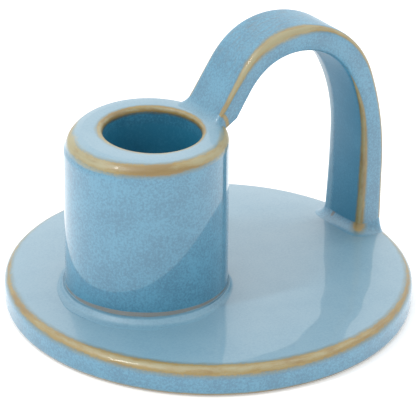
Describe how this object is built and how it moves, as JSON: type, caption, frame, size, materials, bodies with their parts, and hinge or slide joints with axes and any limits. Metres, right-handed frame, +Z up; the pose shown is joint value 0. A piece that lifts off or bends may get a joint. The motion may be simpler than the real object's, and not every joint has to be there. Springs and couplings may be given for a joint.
{
  "type": "chamberstick",
  "caption": "Stoneware chamberstick: a round slab plate, a thick candle socket set off centre, and a flat strap that loops from the socket's rim down to the plate's rim as a finger hold.",
  "frame": {"origin": "centre of the plate's foot, on the surface it stands on", "axes": "+Z up, +X from the candle socket towards the strap's foot, +Y to the left of that direction"},
  "size_m": [0.1, 0.1, 0.0673],
  "materials": {
    "blue_glaze": "glossy"
  },
  "bodies": {
    "root": {"base_plate": "blue_glaze", "candle_socket": "blue_glaze", "socket_foot_coil": "blue_glaze", "loop_handle": "blue_glaze", "handle_foot_slip": "blue_glaze", "handle_shoulder_slip": "blue_glaze"}
  },
  "joints": []
}
